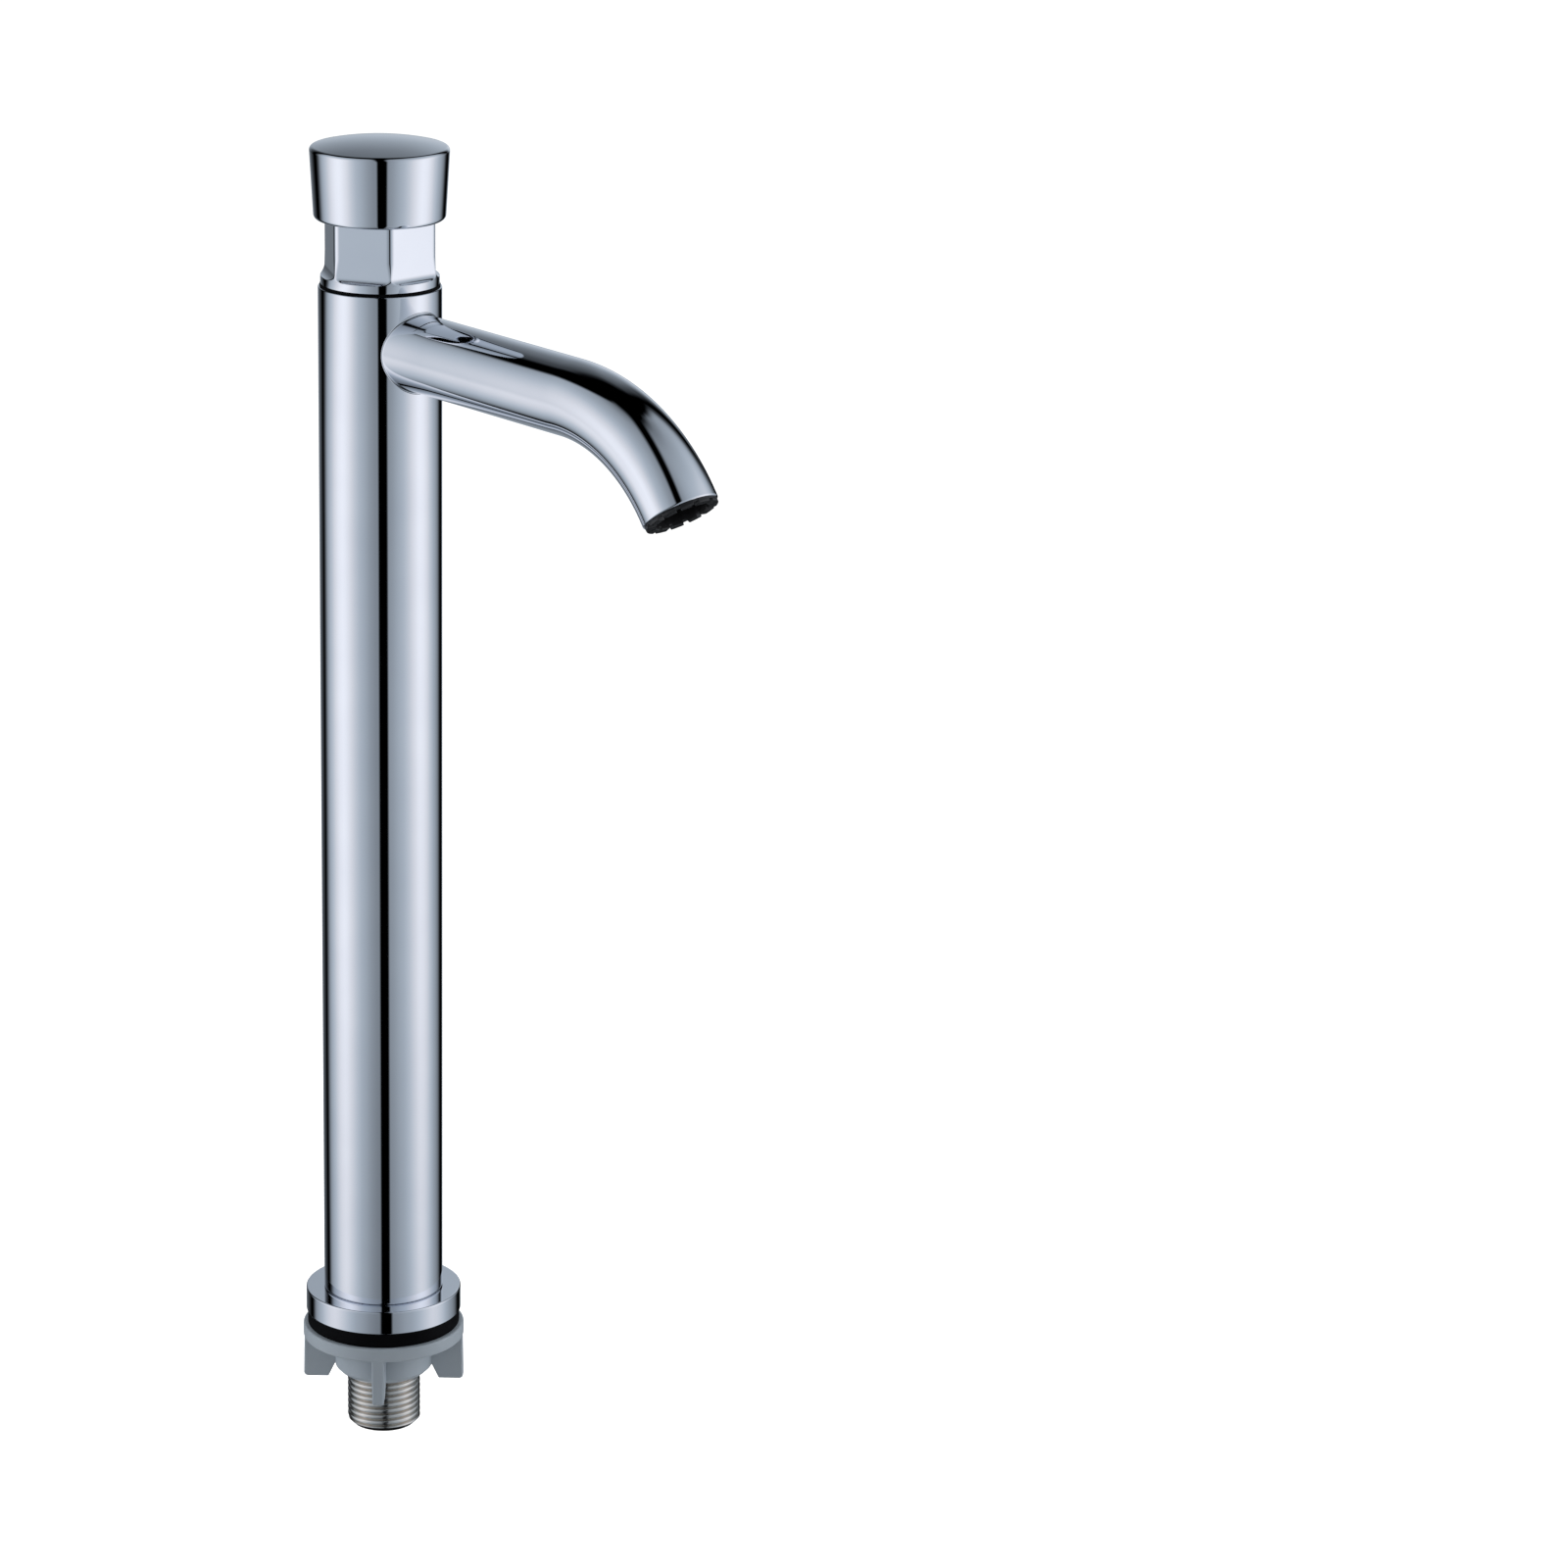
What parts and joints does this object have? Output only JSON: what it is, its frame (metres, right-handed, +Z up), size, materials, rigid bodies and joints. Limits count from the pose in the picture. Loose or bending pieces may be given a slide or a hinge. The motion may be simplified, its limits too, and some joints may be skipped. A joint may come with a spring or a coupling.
{
  "type": "push timed tap",
  "caption": "Tall push-button timed tap: tubular column, down-turned spout, domed push cap over a sprung cartridge, base flange, and threaded inlet shank with a winged backnut.",
  "frame": {"origin": "centre of the column's axis at the deck, on the underside of the base gasket", "axes": "+Z up along the column, -Y towards the spout, +X to the right of someone who faces the spout's back from +Y"},
  "size_m": [0.0462, 0.152, 0.3762],
  "materials": {
    "chrome": "polished chrome plate on brass",
    "brass": "machined",
    "steel": "machined stainless steel",
    "rubber": "moulded",
    "grey_plastic": "moulded satin",
    "black_plastic": "moulded satin",
    "white_plastic": "moulded satin"
  },
  "bodies": {
    "tap_body": {"column_tube": "chrome", "base_flange": "chrome", "base_gasket": "rubber", "inlet_shank": "steel", "spout_tube": "chrome", "aerator_housing": "black_plastic", "aerator_screen": "black_plastic", "aerator_washer": "rubber", "valve_chamber": "brass", "chamber_oring": "rubber", "timing_sleeve": "brass", "sleeve_oring": "rubber", "bonnet": "chrome", "bonnet_gasket": "rubber", "stem_bush": "white_plastic", "stem_orings": "rubber", "bush_clip": "steel", "return_spring": "steel"},
    "plunger": {"push_cap": "chrome", "stem": "steel", "piston": "white_plastic", "piston_cup": "rubber", "timing_needle": "steel", "piston_clip": "steel", "valve_washer": "rubber", "valve_disc": "brass", "valve_nut": "steel"},
    "backnut": {"backnut": "grey_plastic"}
  },
  "joints": [
    {"name": "push", "type": "slide", "parent": "tap_body", "child": "plunger", "axis": [0, 0, -1], "range_m": [0, 0.009], "stiffness_N_per_m": 800, "springref_m": -0.012, "deforming": ["return_spring"]},
    {"name": "backnut_run", "type": "slide", "parent": "tap_body", "child": "backnut", "axis": [0, 0, -1], "range_m": [0, 0.015]}
  ]
}
